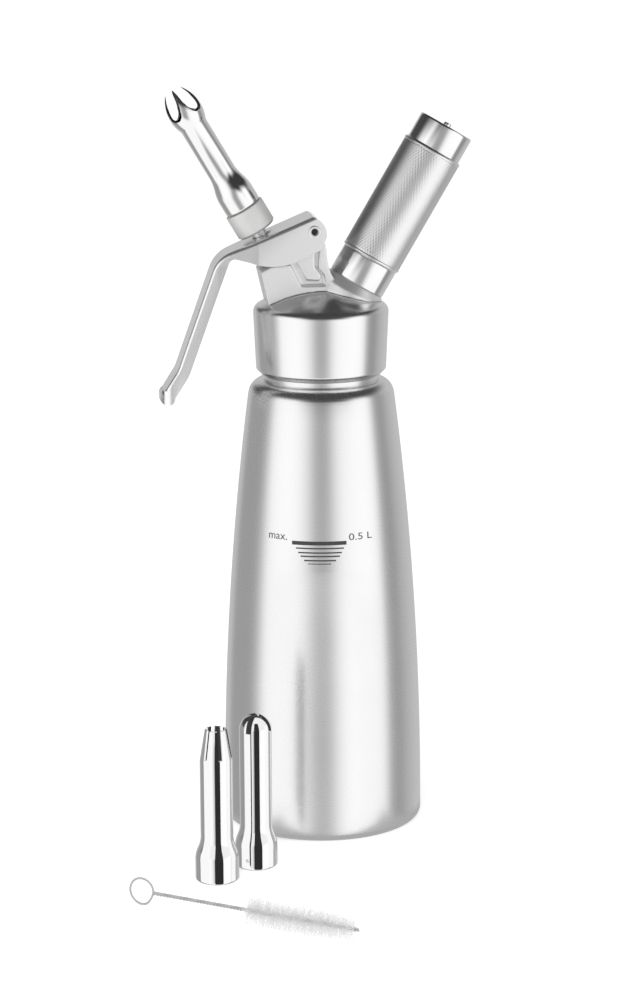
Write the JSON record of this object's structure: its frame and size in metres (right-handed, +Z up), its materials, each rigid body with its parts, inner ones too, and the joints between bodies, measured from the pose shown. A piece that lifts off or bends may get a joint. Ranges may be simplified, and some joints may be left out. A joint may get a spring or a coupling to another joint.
{
  "type": "whipped cream dispenser",
  "caption": "Steel whipped cream dispenser: screwed-on head with a squeeze lever, leaning nozzle and gas cartridge holder, with spare nozzles and a cleaning brush beside it.",
  "frame": {"origin": "on the floor under the middle of the bottle", "axes": "+Z up along the bottle; the lever and the nozzle lean towards -X and the cartridge holder towards +X; the spare nozzles and the brush are on the -Y side"},
  "size_m": [0.146, 0.1915, 0.2955],
  "materials": {
    "bottle_steel": "satin",
    "head_steel": "polished",
    "cast_metal": "satin casting",
    "lever_steel": "polished",
    "adapter_metal": "matt",
    "bright_steel": "mirror",
    "knurled_steel": "knurled",
    "pin_steel": "turned",
    "brass": "turned",
    "cartridge_steel": "plated",
    "seal_rubber": "matt",
    "gasket_silicone": "matt",
    "dark_plastic": "matt",
    "brush_wire": "twisted wire",
    "bristle": "nylon"
  },
  "bodies": {
    "bottle": {"bottle": "bottle_steel"},
    "gasket": {"head_gasket": "gasket_silicone"},
    "head": {"head_cap": "head_steel", "valve_body": "cast_metal", "valve_seat": "brass", "stem_oring": "seal_rubber", "valve_spring": "pin_steel", "lever_pin": "pin_steel", "pin_clip": "pin_steel", "charger_connector": "brass", "check_valve": "dark_plastic", "piercing_pin": "pin_steel", "charger_seal": "seal_rubber"},
    "lever": {"lever": "lever_steel"},
    "valve": {"valve_stem": "pin_steel", "seat_seal": "seal_rubber", "spring_cap": "pin_steel", "nozzle_adapter": "adapter_metal"},
    "nozzle_seal": {"nozzle_washer": "seal_rubber"},
    "nozzle": {"tulip_nozzle": "bright_steel"},
    "cartridge": {"gas_cartridge": "cartridge_steel"},
    "charger_holder": {"holder_tube": "bright_steel", "knurled_sleeve": "knurled_steel", "holder_end_cap": "bright_steel", "vent_plug": "bright_steel"},
    "cone_nozzle": {"cone_nozzle": "bright_steel"},
    "dome_nozzle": {"dome_nozzle": "bright_steel"},
    "brush": {"brush_wire": "brush_wire", "brush_bristles": "bristle"}
  },
  "joints": [
    {"name": "head_rise", "type": "slide", "parent": "bottle", "child": "gasket", "axis": [0, 0, 1], "range_m": [0, 0.014]},
    {"name": "head_unscrew", "type": "hinge", "parent": "gasket", "child": "head", "pos_m": [0, 0, 0.2], "axis": [0, 0, 1], "range_deg": [0, 1261]},
    {"name": "lever_squeeze", "type": "hinge", "parent": "head", "child": "lever", "pos_m": [-0.0038, 0, 0.2396], "axis": [0, -1, 0], "range_deg": [0, 8.52], "stiffness_Nm_per_rad": 0.5, "springref_deg": -11.46},
    {"name": "valve_press", "type": "slide", "parent": "head", "child": "valve", "axis": [0.5105, 0, -0.8599], "range_m": [0, 0.00215], "deforming": ["valve_spring"]},
    {"name": "nozzle_rise", "type": "slide", "parent": "valve", "child": "nozzle_seal", "axis": [-0.5105, 0, 0.8599], "range_m": [0, 0.00625]},
    {"name": "nozzle_unscrew", "type": "hinge", "parent": "nozzle_seal", "child": "nozzle", "pos_m": [-0.03017, 0, 0.24822], "axis": [-0.5105, 0, 0.8599], "range_deg": [0, 1801]},
    {"name": "holder_rise", "type": "slide", "parent": "head", "child": "cartridge", "axis": [0.5068, 0, 0.8621], "range_m": [0, 0.0075]},
    {"name": "charger_unscrew", "type": "hinge", "parent": "cartridge", "child": "charger_holder", "pos_m": [0.01419, 0, 0.21774], "axis": [0.5068, 0, 0.8621], "range_deg": [0, 1801]},
    {"name": "cone_nozzle_lift", "type": "slide", "parent": "bottle", "child": "cone_nozzle", "axis": [0, 0, 1], "range_m": [0, 0.1]},
    {"name": "dome_nozzle_lift", "type": "slide", "parent": "bottle", "child": "dome_nozzle", "axis": [0, 0, 1], "range_m": [0, 0.1]},
    {"name": "brush_lift", "type": "slide", "parent": "bottle", "child": "brush", "axis": [0, 0, 1], "range_m": [0, 0.1]}
  ],
  "couplings": [
    {"joint": "head_unscrew", "follows": "head_rise", "rad_per_m": 1570.8},
    {"joint": "lever_squeeze", "follows": "valve_press", "rad_per_m": 69},
    {"joint": "nozzle_unscrew", "follows": "nozzle_rise", "rad_per_m": 5026.5},
    {"joint": "charger_unscrew", "follows": "holder_rise", "rad_per_m": 4188.8}
  ]
}
